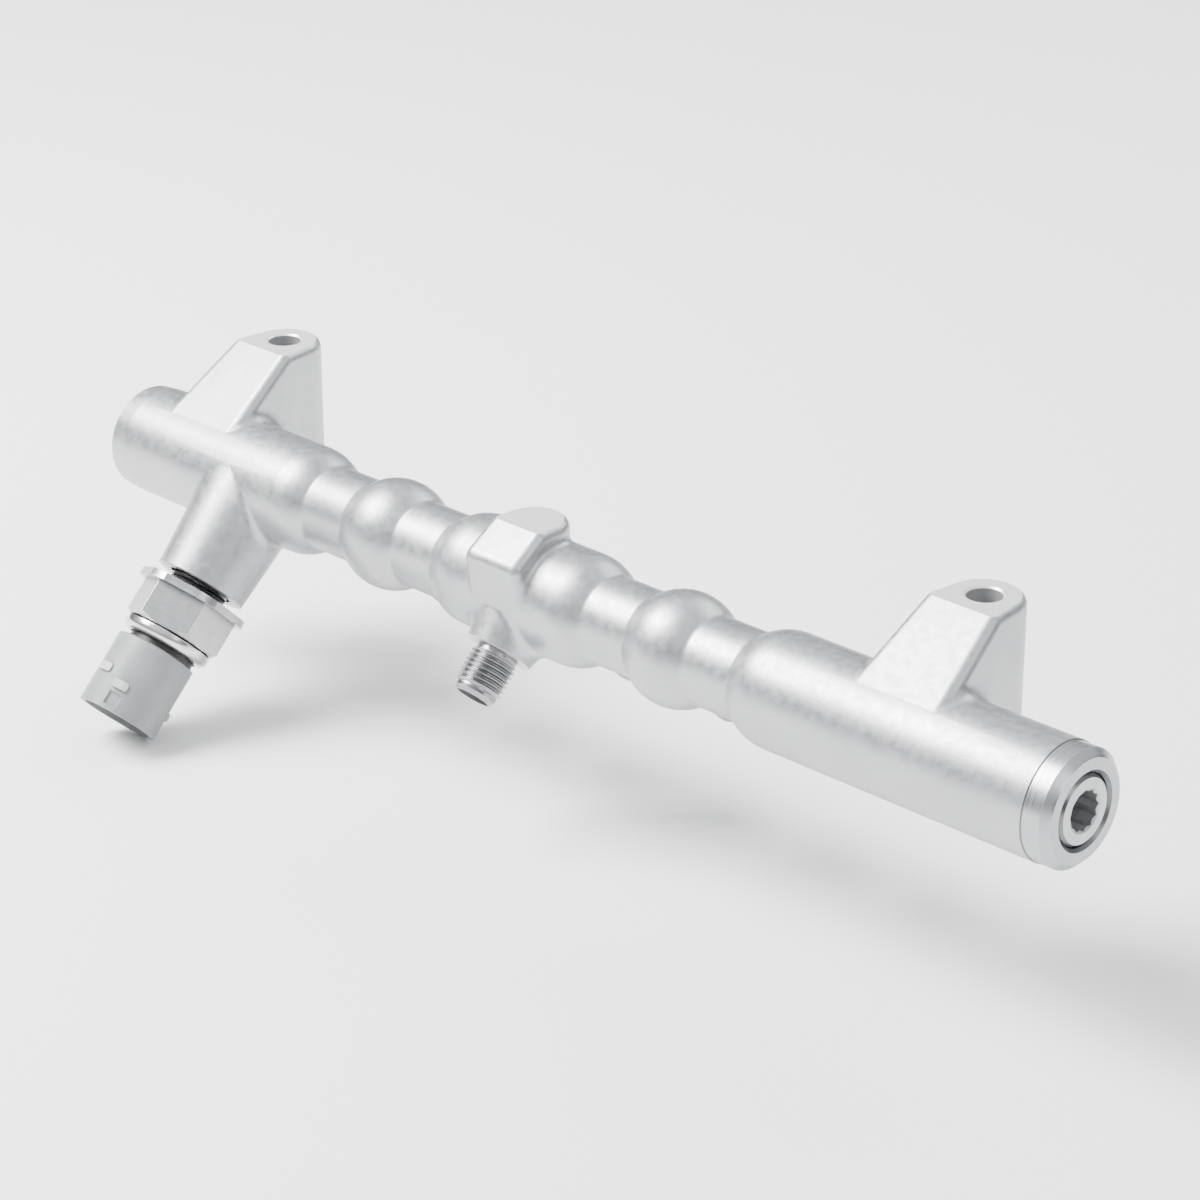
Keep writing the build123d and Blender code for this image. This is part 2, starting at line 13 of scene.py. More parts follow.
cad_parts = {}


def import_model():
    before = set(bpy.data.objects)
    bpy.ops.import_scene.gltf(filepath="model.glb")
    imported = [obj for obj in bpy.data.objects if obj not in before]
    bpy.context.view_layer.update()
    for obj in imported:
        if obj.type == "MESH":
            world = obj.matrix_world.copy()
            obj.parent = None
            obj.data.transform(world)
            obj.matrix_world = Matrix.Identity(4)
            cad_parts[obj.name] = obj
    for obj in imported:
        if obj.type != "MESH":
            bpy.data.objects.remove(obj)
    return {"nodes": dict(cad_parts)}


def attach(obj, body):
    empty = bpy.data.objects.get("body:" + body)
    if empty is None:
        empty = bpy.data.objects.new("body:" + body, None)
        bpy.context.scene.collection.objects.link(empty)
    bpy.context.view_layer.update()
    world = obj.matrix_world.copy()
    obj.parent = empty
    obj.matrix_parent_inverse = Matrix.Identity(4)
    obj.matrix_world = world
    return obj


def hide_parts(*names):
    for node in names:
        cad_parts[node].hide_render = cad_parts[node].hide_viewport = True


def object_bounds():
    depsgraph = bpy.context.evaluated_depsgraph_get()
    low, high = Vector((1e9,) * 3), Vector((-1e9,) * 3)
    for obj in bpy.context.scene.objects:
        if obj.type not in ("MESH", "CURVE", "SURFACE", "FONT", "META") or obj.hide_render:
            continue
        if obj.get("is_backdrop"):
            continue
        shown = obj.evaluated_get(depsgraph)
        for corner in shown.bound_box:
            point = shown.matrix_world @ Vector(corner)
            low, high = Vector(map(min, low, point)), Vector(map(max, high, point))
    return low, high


LOG = logging.getLogger("fuel_rail")

Socket = bpy.types.NodeSocket
Value = Union[Socket, float, tuple]  # a socket is linked, a number or tuple is set
Inputs = dict[Union[int, str], Value]  # what a node's sockets get, by their number or name
Tone = tuple[float, float, float]
Place = tuple[float, float, float]

MM = 0.001
RAIL_AXIS = np.array([0.0, -28.4, 17.0]) * MM
ALONG = np.array([1.0, 0.0, 0.0])  # the way that the rail runs
OUTLET_PITCH = 37.65 * MM
SENSOR_X = -115.3 * MM
FRONT_LEAN = math.radians(45.0)
OUTLET_LEAN = math.radians(46.0)

# Between these two values of noise, or of openness, a look turns into the other.
CLOUD_SPAN = (0.35, 0.65)
STAIN_SPAN = (0.4, 0.7)
GRAIN_SPAN = (0.3, 0.7)
OPEN_SPAN = (0.15, 0.8)


class Side(Enum):
    """Which way a port leans out of the rail, as the sign of its own y."""

    FRONT = -1
    BACK = 1


@dataclass(frozen=True)
class PortFrame:
    """A port's own axes: its centre on the rail's axis, and the way it points.

    Fields:
        centre: the point where the port's axis meets the rail's axis, in metres.
        axis: unit vector from the rail out through the port.
    """

    centre: np.ndarray
    axis: np.ndarray

    @classmethod
    def at(cls, x: float, side: Side, lean: float = FRONT_LEAN) -> "PortFrame":
        """The frame of a port that leans down and to one side.

        Args:
            x: place along the rail, in metres.
            side: which way it leans.
            lean: angle below the horizon, in radians.

        Returns:
            The port's frame.
        """
        axis = np.array([0.0, side.value * math.cos(lean), -math.sin(lean)])
        return cls(RAIL_AXIS + x * ALONG, axis)

    @property
    def third(self) -> np.ndarray:
        """Unit vector square to both the port's axis and the rail's: axis x along."""
        return np.cross(self.axis, ALONG)

    def place(self, radius: np.ndarray, height: np.ndarray, angle: np.ndarray) -> np.ndarray:
        """Points from cylinder coordinates about the port's axis.

        Each point is centre + height * axis + radius * (cos(angle) * along + sin(angle) * third).

        Args:
            radius: distances from the axis.
            height: distances along the axis from the rail's axis.
            angle: turns about the axis, in radians.

        Returns:
            An array of points, one row each.
        """
        turn = np.cos(angle)[..., None] * ALONG + np.sin(angle)[..., None] * self.third
        return self.centre + height[..., None] * self.axis + radius[..., None] * turn


class NodeSketch:
    """A material's node tree, with short calls for the nodes that these finishes use."""

    # OPEN_RAYS: the rays with which the painted recess shade feels for a recess.
    OPEN_RAYS = 8  # rays that feel for a recess
    MIX_SHARE, MIX_FIRST, MIX_SECOND, MIX_RESULT = 0, 6, 7, 2  # a colour mix's own sockets

    def __init__(self, name: str) -> None:
        """Starts an empty principled material.

        Args:
            name: the material's name.
        """
        self.material = bpy.data.materials.new(name)
        self.material.use_nodes = True
        self.tree = self.material.node_tree
        self.shader = self.tree.nodes["Principled BSDF"]
        self.point = self.add("ShaderNodeTexCoord", {}).outputs["Object"]

    def add(self, kind: str, inputs: Inputs, **settings: object) -> bpy.types.Node:
        """Adds a node.

        Args:
            kind: the node's type.
            inputs: what its sockets get.
            settings: its properties.

        Returns:
            The node.
        """
        node = self.tree.nodes.new(kind)
        for name, value in settings.items():
            setattr(node, name, value)
        return self.feed(node, inputs)

    def feed(self, node: bpy.types.Node, inputs: Inputs) -> bpy.types.Node:
        """Links other nodes to a node's sockets, or sets the sockets' own values.

        Args:
            node: the node.
            inputs: what its sockets get.

        Returns:
            The node.
        """
        for key, value in inputs.items():
            if isinstance(value, Socket):
                self.tree.links.new(value, node.inputs[key])
            else:
                node.inputs[key].default_value = value
        return node

    def shade(self, looks: Inputs) -> bpy.types.Material:
        """Feeds the shader and hands over the finished material."""
        self.feed(self.shader, looks)
        return self.material

    def maths(self, operation: str, *values: Value) -> Socket:
        """One number from one, two or three others."""
        return self.add("ShaderNodeMath", dict(enumerate(values)), operation=operation).outputs[0]

    def vector(self, operation: str, *values: Value) -> bpy.types.Node:
        """A Vector Math node, whose outputs are Vector and Value."""
        return self.add("ShaderNodeVectorMath", dict(enumerate(values)), operation=operation)

    def scaled(self, vector: Value, share: Value) -> Socket:
        """A vector or a colour times a number."""
        inputs = {0: vector, "Scale": share}
        return self.add("ShaderNodeVectorMath", inputs, operation="SCALE").outputs["Vector"]

    def dot(self, vector: Value, way: np.ndarray) -> Socket:
        """How far a vector reaches along a unit vector."""
        return self.vector("DOT_PRODUCT", vector, tuple(way)).outputs["Value"]

    def noise(self, scale: float, octaves: float = 1.0, where: Socket | None = None) -> Socket:
        """Fractal noise between 0 and 1, with scale cells for each metre of the coordinate."""
        inputs = {"Vector": where or self.point, "Scale": scale, "Detail": octaves}
        return self.add("ShaderNodeTexNoise", inputs, noise_dimensions="3D").outputs["Fac"]

    def spread(self, value: Value, span: tuple[float, float],
               low: float = 0.0, high: float = 1.0) -> Socket:
        """Maps a value's span onto low..high and holds it there."""
        inputs = {"Value": value, "From Min": span[0], "From Max": span[1],
                  "To Min": low, "To Max": high}
        return self.add("ShaderNodeMapRange", inputs, clamp=True).outputs["Result"]

    def parts(self, where: Value) -> tuple[Socket, Socket, Socket]:
        """The x, y and z of a coordinate."""
        return tuple(self.add("ShaderNodeSeparateXYZ", {0: where}).outputs)

    def joined(self, *numbers: Value) -> Socket:
        """A coordinate from its x, y and z."""
        return self.add("ShaderNodeCombineXYZ", dict(enumerate(numbers))).outputs[0]

    def above(self, value: Value, level: float) -> Socket:
        """One where the value is over the level, else nought."""
        return self.maths("GREATER_THAN", value, level)

    def below(self, value: Value, level: float) -> Socket:
        """One where the value is under the level, else nought."""
        return self.maths("LESS_THAN", value, level)

    def near(self, value: Value, level: float, reach: float) -> Socket:
        """One where the value is within reach of the level, else nought."""
        return self.maths("COMPARE", value, level, reach)

    def both(self, first: Value, second: Value) -> Socket:
        """One where both are one."""
        return self.maths("MULTIPLY", first, second)

    def either(self, first: Value, second: Value) -> Socket:
        """One where one of the two is one."""
        return self.maths("MAXIMUM", first, second)

    def rest(self, share: Value) -> Socket:
        """One less the share."""
        return self.maths("SUBTRACT", 1.0, share)

    def reach(self, first: Value, second: Value) -> Socket:
        """The length of a flat vector: the root of the sum of both squares."""
        squares = [self.maths("MULTIPLY", value, value) for value in (first, second)]
        return self.maths("SQRT", self.maths("ADD", *squares))

    def lerp(self, share: Value, first: Value, second: Value) -> Socket:
        """First where the share is nought, second where it is one, in even steps between."""
        return self.maths("MULTIPLY_ADD", share, self.maths("SUBTRACT", second, first), first)

    def blend(self, share: Value, first: Value, second: Value) -> Socket:
        """The first colour where the share is nought, the second where it is one."""
        inputs = {self.MIX_SHARE: share, self.MIX_FIRST: first, self.MIX_SECOND: second}
        return self.add("ShaderNodeMix", inputs, data_type="RGBA").outputs[self.MIX_RESULT]

    def bump(self, height: Value, depth: float, strength: Value = 1.0,
             under: Socket | None = None) -> Socket:
        """A bump from a height between 0 and 1.

        Args:
            height: the height.
            depth: what a height of 1 stands for, in metres.
            strength: how much of it is used.
            under: another bump's normal below this one.

        Returns:
            The normal's socket.
        """
        inputs = {"Strength": strength, "Distance": depth, "Height": height}
        if under is not None:
            inputs["Normal"] = under
        return self.add("ShaderNodeBump", inputs).outputs["Normal"]

    def shaded_in_recesses(self, colour: Value, reach: float, left: float) -> Socket:
        """Painted shade: a colour that darkens in recesses and between parts, where shade falls.

        Args:
            colour: the colour without the painted shade.
            reach: how near other surfaces count, in metres.
            left: the share of the colour that the painted shade leaves in the deepest recess.

        Returns:
            The colour's socket.
        """
        # Painted shade: ambient occlusion darkens the colour where other surfaces are near.
        recess = self.add("ShaderNodeAmbientOcclusion", {"Distance": reach}, samples=self.OPEN_RAYS)
        keep = self.spread(recess.outputs["AO"], OPEN_SPAN, left, 1.0)
        return self.scaled(colour, keep)

    def around(self, centre: np.ndarray, axis: np.ndarray) -> tuple[Socket, Socket]:
        """Cylinder coordinates of the surface point about an axis.

        Height is the dot product of (point - centre) with the axis, and radius is the length of
        (point - centre) - height * axis.

        Args:
            centre: a point on the axis.
            axis: the axis, a unit vector.

        Returns:
            The sockets of radius and height.
        """
        off = self.vector("SUBTRACT", self.point, tuple(centre)).outputs["Vector"]
        height = self.dot(off, axis)
        flat = self.vector("SUBTRACT", off, self.scaled(tuple(axis), height)).outputs["Vector"]
        return self.vector("LENGTH", flat).outputs["Value"], height

    def turn(self, port: PortFrame) -> Socket:
        """The surface point's turn about a port's axis.

        It is the angle of (point - centre) from along to third, over a full turn.

        Args:
            port: the port's frame.

        Returns:
            The socket of the turn, from minus a half to a half.
        """
        off = self.vector("SUBTRACT", self.point, tuple(port.centre)).outputs["Vector"]
        angle = self.maths("ARCTAN2", self.dot(off, port.third), self.dot(off, ALONG))
        return self.maths("DIVIDE", angle, math.tau)


def rgba(tone: Tone) -> tuple[float, float, float, float]:
    """A colour with full opacity."""
    return (*tone, 1.0)


@dataclass(frozen=True)
class CutFaces:
    """Where the forging is cut, as sockets that are one there, else nought.

    Fields:
        cut: any face that is milled, turned or drilled.
        ends: the turned end.
        drilled: the walls of the bolt holes.
        marks: noise that runs the way the tool did.
    """

    cut: Socket
    ends: Socket
    drilled: Socket
    marks: Socket


@dataclass(frozen=True)
class PlatedForging:
    """Pale satin plate over a shot-blasted forging, with paler cut faces that show tool marks.

    Fields:
        pale: the plate's colour.
        dull: the plate's colour where it is thinner.
        cut: the colour of the milled faces.
        turned: the colour of the turned end.
        drilled: the colour inside the bolt holes.
        recess_shade: the colour of the painted shade in the plug's mouth and of the painted shadow
            line at the turned band's step.
        metal: how metallic the plate and the turned end are.
        milled_metal: how metallic the milled faces are, which a thin pale film covers.
        satin: lowest and highest roughness of the plate.
        bright: lowest and highest roughness of the cut faces.
        drilled_rough: roughness inside the bolt holes.
        cloud_scale: patches of the plate's cloud for each metre.
        fine_scale: cells of its finer mottling for each metre.
        fine_share: how much of the mottling is in the cloud.
        skin_scale: cells of the blasted skin for each metre.
        skin_depth: the skin's height, in metres.
        peel_scale: waves of the forged surface for each metre.
        peel_depth: their height, in metres.
        peel_share: how much of it shows.
        mark_scale: tool marks for each metre.
        mark_depth: their height, in metres.
        shade_reach: how near other surfaces must be for the painted shade in a recess.
        shade_left: the share of the colour that the painted shade leaves in the deepest recess.
        sliver: half thickness of the layer that counts as a cut plane.
        half_bolt_pitch: half of the distance between the bolt holes.
        post_top: height of the posts' milled tops.
        pad_top: height of the centre pad's milled face.
        spot: radius round a bolt within which the hole and its chamfer lie.
        hole: radius round a bolt that still counts as the hole's wall.
        seat: radius within which a seat, the pad or a boss's face lies.
        boss_face: distance of the connectors' boss faces from the rail's axis.
        sensor_face: distance of the sensor's boss face from the rail's axis.
        sensor_recess: radius of the recess in it.
        turned_from: where the turned band of the plugged end starts.
        shadow_line: half width of the painted shadow line at that step.
        mouth: radius of the mouth that holds the plug, which is cut after plating; it is filled
            with painted shade.
        mouth_from: where its chamfer starts.
    """

    pale: Tone = (0.47, 0.475, 0.485)
    dull: Tone = (0.40, 0.405, 0.415)
    cut: Tone = (0.76, 0.76, 0.77)
    turned: Tone = (0.40, 0.405, 0.415)
    drilled: Tone = (0.34, 0.34, 0.345)
    recess_shade: Tone = (0.16, 0.16, 0.165)
    metal: float = 0.92
    milled_metal: float = 0.45
    satin: tuple[float, float] = (0.36, 0.48)
    bright: tuple[float, float] = (0.26, 0.38)
    drilled_rough: float = 0.6
    cloud_scale: float = 45.0
    fine_scale: float = 420.0
    fine_share: float = 0.4
    skin_scale: float = 1500.0
    skin_depth: float = 0.03 * MM
    peel_scale: float = 160.0
    peel_depth: float = 0.12 * MM
    peel_share: float = 0.5
    mark_scale: float = 1100.0
    mark_depth: float = 0.004 * MM
    shade_reach: float = 3.0 * MM
    shade_left: float = 0.45
    sliver: float = 0.02 * MM
    half_bolt_pitch: float = 135.85 * MM
    post_top: float = 49.0 * MM
    pad_top: float = 38.6 * MM
    spot: float = 5.55 * MM
    hole: float = 4.95 * MM
    seat: float = 16.0 * MM
    boss_face: float = 20.5 * MM
    sensor_face: float = 36.8 * MM
    sensor_recess: float = 10.2 * MM
    turned_from: float = 184.0 * MM
    shadow_line: float = 0.17 * MM
    mouth: float = 10.95 * MM
    mouth_from: float = 190.5 * MM

    def make(self, name: str) -> bpy.types.Material:
        """Builds the material.

        Args:
            name: the material's name.

        Returns:
            The material.
        """
        sketch = NodeSketch(name)
        faces = self.cut_faces(sketch)
        fine = sketch.noise(self.fine_scale, octaves=4.0)
        colour = self.colour(sketch, faces, fine)
        milled = sketch.both(faces.cut, sketch.rest(faces.ends))
        satin = sketch.spread(fine, GRAIN_SPAN, *self.satin)
        bright = sketch.spread(faces.marks, GRAIN_SPAN, *self.bright)
        outside = sketch.lerp(faces.cut, satin, bright)
        # Painted shade in recesses darkens the forging's colour.
        return sketch.shade({
            "Base Color": sketch.shaded_in_recesses(colour, self.shade_reach, self.shade_left),
            "Metallic": sketch.lerp(milled, self.metal, self.milled_metal),
            "Roughness": sketch.lerp(faces.drilled, outside, self.drilled_rough),
            "Normal": self.relief(sketch, faces),
        })

    def colour(self, sketch: NodeSketch, faces: CutFaces, fine: Socket) -> Socket:
        """The colour before the painted recess shade: clouded plate, pale cut faces, painted shade
        in the plug's mouth and a painted shadow line at the step.

        Args:
            sketch: the material.
            faces: where the forging is cut.
            fine: the plate's mottling.

        Returns:
            The colour's socket.
        """
        cloud = sketch.noise(self.cloud_scale, octaves=3.0)
        share = sketch.spread(sketch.lerp(self.fine_share, cloud, fine), CLOUD_SPAN)
        plate = sketch.blend(share, rgba(self.dull), rgba(self.pale))
        film = sketch.blend(faces.drilled, rgba(self.cut), rgba(self.drilled))
        bare = sketch.blend(faces.ends, film, rgba(self.turned))
        axis_radius = sketch.around(RAIL_AXIS, ALONG)[0]
        x = sketch.parts(sketch.point)[0]
        # Painted shade in the mouth round the plug, and a painted shadow line at the turned band's
        # step.
        mouth = sketch.both(sketch.below(axis_radius, self.mouth), sketch.above(x, self.mouth_from))
        step = sketch.near(x, self.turned_from + self.shadow_line, self.shadow_line)
        clean = sketch.blend(faces.cut, plate, bare)
        return sketch.blend(sketch.either(mouth, step), clean, rgba(self.recess_shade))

    def relief(self, sketch: NodeSketch, faces: CutFaces) -> Socket:
        """Blasted skin and gentle waves where it is forged, and tool marks where it is cut.

        Args:
            sketch: the material.
            faces: where the forging is cut.

        Returns:
            The normal's socket.
        """
        forged = sketch.rest(faces.cut)
        grain = sketch.noise(self.skin_scale, octaves=3.0)
        waves = sketch.noise(self.peel_scale, octaves=2.0)
        skin = sketch.bump(grain, self.skin_depth, forged)
        shown = sketch.maths("MULTIPLY", forged, self.peel_share)
        peel = sketch.bump(waves, self.peel_depth, shown, skin)
        return sketch.bump(faces.marks, self.mark_depth, faces.cut, peel)

    def from_bolt(self, sketch: NodeSketch) -> Socket:
        """The distance from the nearer bolt's axis: the length of (|x| - half pitch, y).

        Args:
            sketch: the material.

        Returns:
            The distance's socket.
        """
        x, y, _ = sketch.parts(sketch.point)
        aside = sketch.maths("SUBTRACT", sketch.maths("ABSOLUTE", x), self.half_bolt_pitch)
        return sketch.reach(aside, y)

    def boss(self, sketch: NodeSketch, port: PortFrame,
             face: float) -> tuple[Socket, Socket, Socket]:
        """The milled face of the boss that a port stands on.

        It lies within a sliver of the face's plane and a seat's radius of the port's axis.

        Args:
            sketch: the material.
            port: the port's frame.
            face: the face's distance from the rail's axis.

        Returns:
            The sockets of the face, and of radius and height about the port.
        """
        radius, height = sketch.around(port.centre, port.axis)
        plane = sketch.near(height, face, self.sliver)
        return sketch.both(plane, sketch.below(radius, self.seat)), radius, height

    def cut_faces(self, sketch: NodeSketch) -> CutFaces:
        """Where the forging is milled, turned or drilled, and the tool marks there.

        A face counts as cut where the point lies within a sliver of its plane, or inside a hole's
        radius. The outlets share one plane, so their faces need no radius. The marks are noise over
        the radius about the nearer bolt, and over that about the rail's axis at the turned end.

        Args:
            sketch: the material.

        Returns:
            The faces.
        """
        x, _, z = sketch.parts(sketch.point)
        bolt = self.from_bolt(sketch)
        tops = sketch.above(z, self.post_top - self.sliver)
        seats = sketch.both(sketch.near(z, 0.0, self.sliver), sketch.below(bolt, self.seat))
        pad = sketch.both(sketch.near(z, self.pad_top, self.sliver),
                          sketch.below(sketch.maths("ABSOLUTE", x), self.seat))
        front_boss = self.boss(sketch, PortFrame.at(0.0, Side.FRONT), self.boss_face)[0]
        sensor_boss, sensor_radius, sensor_height = self.boss(
            sketch, PortFrame.at(SENSOR_X, Side.FRONT), self.sensor_face)
        recess = sketch.both(sketch.above(sensor_height, self.boss_face),
                             sketch.below(sensor_radius, self.sensor_recess))
        outlet = PortFrame.at(0.0, Side.BACK, OUTLET_LEAN)
        outlet_height = sketch.around(outlet.centre, outlet.axis)[1]
        back_boss = sketch.near(outlet_height, self.boss_face, self.sliver)
        ends = sketch.above(x, self.turned_from)
        cut = ends
        for face in (tops, seats, pad, sketch.below(bolt, self.spot),
                     front_boss, back_boss, sensor_boss, recess):
            cut = sketch.either(cut, face)
        axis_radius, along = sketch.around(RAIL_AXIS, ALONG)
        turned = sketch.noise(self.mark_scale, where=sketch.joined(axis_radius, along, 0.0))
        milled = sketch.noise(self.mark_scale, where=sketch.joined(bolt, 0.0, 0.0))
        marks = sketch.lerp(ends, milled, turned)
        return CutFaces(cut, ends, sketch.below(bolt, self.hole), marks)


@dataclass(frozen=True)
class TurnedSteel:
    """Bright steel turned on a lathe: fine rings about the piece's own axis.

    Fields:
        tone: the steel's colour.
        stain: the colour in its darker patches.
        stain_scale: patches for each metre.
        smooth: lowest roughness.
        rough: highest roughness.
        ring_scale: rings for each metre, roughly.
        ring_depth: their height, in metres.
        plain_within: radius within which there are no rings, as in a broached socket.
        broached: roughness within that radius.
        shaded_beyond: radius beyond which the steel gets painted shade, as on the plug's rim in its
            groove.
        shaded_within: radius within which it gets painted shade too, as in a connector's mouth.
        recess_shade: the colour of that painted shade.
        shade_reach: how near other surfaces must be for the painted shade in a recess.
        shade_left: the share of the colour that the painted shade leaves in the deepest recess.
    """

    tone: Tone = (0.48, 0.485, 0.49)
    stain: Tone = (0.40, 0.405, 0.41)
    stain_scale: float = 260.0
    smooth: float = 0.22
    rough: float = 0.36
    ring_scale: float = 1200.0
    ring_depth: float = 0.007 * MM
    plain_within: float = 0.0
    broached: float = 0.5
    shaded_beyond: float = 1.0
    shaded_within: float = 0.0
    recess_shade: Tone = (0.16, 0.16, 0.165)
    shade_reach: float = 2.0 * MM
    shade_left: float = 0.3

    def make(self, name: str, centre: np.ndarray, axis: np.ndarray) -> bpy.types.Material:
        """Builds the material for one turning axis.

        Args:
            name: the material's name.
            centre: a point on the axis.
            axis: the axis, a unit vector.

        Returns:
            The material.
        """
        sketch = NodeSketch(name)
        radius, height = sketch.around(centre, axis)
        ringed = sketch.above(radius, self.plain_within)
        lines = sketch.noise(self.ring_scale, where=sketch.joined(radius, height, 0.0))
        patch = sketch.spread(sketch.noise(self.stain_scale, octaves=3.0), STAIN_SPAN)
        bright = sketch.blend(patch, rgba(self.tone), rgba(self.stain))
        # Painted shade on the rings that lie deep in a groove or a mouth.
        shaded_ring = sketch.either(sketch.above(radius, self.shaded_beyond),
                             sketch.below(radius, self.shaded_within))
        clean = sketch.blend(shaded_ring, bright, rgba(self.recess_shade))
        turned = sketch.spread(lines, GRAIN_SPAN, self.smooth, self.rough)
        under = self.thread_normal(sketch, centre, axis)
        # Painted shade in recesses darkens the steel's colour.
        return sketch.shade({
            "Base Color": sketch.shaded_in_recesses(clean, self.shade_reach, self.shade_left),
            "Metallic": 1.0,
            "Roughness": sketch.lerp(ringed, self.broached, turned),
            "Normal": sketch.bump(lines, self.ring_depth, ringed, under),
        })

    def thread_normal(self, sketch: NodeSketch, centre: np.ndarray,
                      axis: np.ndarray) -> Socket | None:
        """What lies under the rings: nothing on a plain piece."""
        return None


@dataclass(frozen=True)
class ThreadedShank(TurnedSteel):
    """Turned steel whose shank carries a rolled thread, as the sensor's port does.

    Fields:
        pitch: the thread's pitch.
        shank: the shank's radius.
        slack: how far from that radius the surface still counts as shank.
        thread_depth: the thread's depth.
    """

    pitch: float = 1.5 * MM
    shank: float = 9.0 * MM
    slack: float = 0.15 * MM
    thread_depth: float = 0.6 * MM

    def thread_normal(self, sketch: NodeSketch, centre: np.ndarray,
                      axis: np.ndarray) -> Socket | None:
        """The thread's bump, only on the shank's radius.

        It is a saw of height / pitch - turn that rises from 0 to 1 and falls back in each turn.

        Args:
            sketch: the material.
            centre: a point on the axis.
            axis: the axis, a unit vector.

        Returns:
            The normal's socket.
        """
        radius, height = sketch.around(centre, axis)
        pitches = sketch.maths("DIVIDE", height, self.pitch)
        phase = sketch.maths("SUBTRACT", pitches, sketch.turn(PortFrame(centre, axis)))
        saw = sketch.maths("MULTIPLY", sketch.maths("PINGPONG", phase, 0.5), 2.0)
        return sketch.bump(saw, self.thread_depth, sketch.near(radius, self.shank, self.slack))


@dataclass(frozen=True)
class Moulded:
    """A moulded plastic or rubber with a fine spark-eroded grain.

    Fields:
        tone: its colour.
        shade: the colour of its darker cloud.
        cloud_scale: patches of the cloud for each metre.
        smooth: lowest roughness.
        rough: highest roughness.
        grain_scale: cells of the grain for each metre.
        grain_depth: the grain's height, in metres.
        grain_share: how much of it shows.
        shade_reach: how near other surfaces must be for the painted shade in a recess.
        shade_left: the share of the colour that the painted shade leaves in the deepest recess.
    """

    tone: Tone
    shade: Tone
    cloud_scale: float = 120.0
    smooth: float = 0.38
    rough: float = 0.5
    grain_scale: float = 3200.0
    grain_depth: float = 0.015 * MM
    grain_share: float = 0.7
    shade_reach: float = 1.2 * MM
    shade_left: float = 0.35

    def make(self, name: str) -> bpy.types.Material:
        """Builds the material.

        Args:
            name: the material's name.

        Returns:
            The material.
        """
        sketch = NodeSketch(name)
        grain = sketch.noise(self.grain_scale, octaves=2.0)
        # Painted shade in recesses darkens the plastic's colour.
        return sketch.shade({
            "Base Color": sketch.shaded_in_recesses(self.colour(sketch), self.shade_reach, self.shade_left),
            "Roughness": sketch.spread(grain, GRAIN_SPAN, self.smooth, self.rough),
            "Normal": sketch.bump(grain, self.grain_depth, self.grain_share),
        })

    def colour(self, sketch: NodeSketch) -> Socket:
        """The clean plastic's faint cloud."""
        cloud = sketch.spread(sketch.noise(self.cloud_scale, octaves=3.0), CLOUD_SPAN)
        return sketch.blend(cloud, rgba(self.tone), rgba(self.shade))


@dataclass(frozen=True)
class PlugShell(Moulded):
    """The plug housing's plastic, with painted highlight on its pegs' tops and painted shade at its
    neck.

    Fields:
        peg_highlight: the colour of the painted highlight on the pegs' tops.
        peg_top: radius about the shell's axis beyond which the painted highlight lies.
        pegs_from: where the pegs start, from the rail's axis.
        shell_shift: how far the shell's axis lies from the sensor's.
        neck_shade: the colour of the painted shade on the neck in the collar's mouth.
        shaded_until: where the painted shade ends, from the rail's axis.
    """

    peg_highlight: Tone = (0.5, 0.505, 0.51)
    peg_top: float = 12.85 * MM
    pegs_from: float = 65.0 * MM
    shell_shift: float = 1.25 * MM
    neck_shade: Tone = (0.02, 0.02, 0.02)
    shaded_until: float = 60.25 * MM

    def colour(self, sketch: NodeSketch) -> Socket:
        """The faint cloud, with painted highlight on the pegs' tops and painted shade below the
        shell.

        Args:
            sketch: the material.

        Returns:
            The colour's socket.
        """
        port = PortFrame.at(SENSOR_X, Side.FRONT)
        radius, height = sketch.around(port.centre + self.shell_shift * port.third, port.axis)
        # Painted highlight: the pegs' tops beyond peg_top are painted paler, as if lit.
        lit_tops = sketch.both(sketch.above(radius, self.peg_top), sketch.above(height, self.pegs_from))
        clean = sketch.blend(lit_tops, super().colour(sketch), rgba(self.peg_highlight))
        # Painted shade: everything below the shell's start is painted near black, as the shade
        # under the collar.
        return sketch.blend(sketch.below(height, self.shaded_until), clean, rgba(self.neck_shade))


def grid_mesh(name: str, points: np.ndarray, crisp: np.ndarray,
              finish: bpy.types.Material) -> bpy.types.Object:
    """A smooth mesh from a closed grid of points, rows and columns both joined end to start.

    Face (i, j) joins rows i, i+1 and columns j, j+1, each taken round past its last. An edge is
    crisp where both its ends lie in one crisp row, and a vertex's row is its number over columns.

    Args:
        name: the piece's name.
        points: an array of rows x columns x 3.
        crisp: the numbers of the rows that are real corners.
        finish: its material.

    Returns:
        The object, at the origin.
    """
    rows, columns = points.shape[:2]
    low, across = np.meshgrid(np.arange(rows), np.arange(columns), indexing="ij")
    high, beside = (low + 1) % rows, (across + 1) % columns
    faces = np.stack([low * columns + across, low * columns + beside,
                      high * columns + beside, high * columns + across], -1).reshape(-1, 4)
    mesh = bpy.data.meshes.new(name)
    mesh.vertices.add(rows * columns)
    mesh.vertices.foreach_set("co", points.reshape(-1).astype(np.float32))
    mesh.loops.add(faces.size)
    mesh.loops.foreach_set("vertex_index", faces.reshape(-1))
    mesh.polygons.add(len(faces))
    mesh.polygons.foreach_set("loop_start", np.arange(len(faces)) * 4)
    mesh.polygons.foreach_set("use_smooth", np.full(len(faces), True))
    mesh.update(calc_edges=True)
    ends = np.empty(len(mesh.edges) * 2, dtype=np.int32)
    mesh.edges.foreach_get("vertices", ends)
    row = ends.reshape(-1, 2) // columns
    in_row = row[:, 0] == row[:, 1]
    mesh.edges.foreach_set("use_edge_sharp", in_row & np.isin(row[:, 0], crisp))
    mesh.materials.append(finish)
    piece = bpy.data.objects.new(name, mesh)
    bpy.context.scene.collection.objects.link(piece)
    return piece


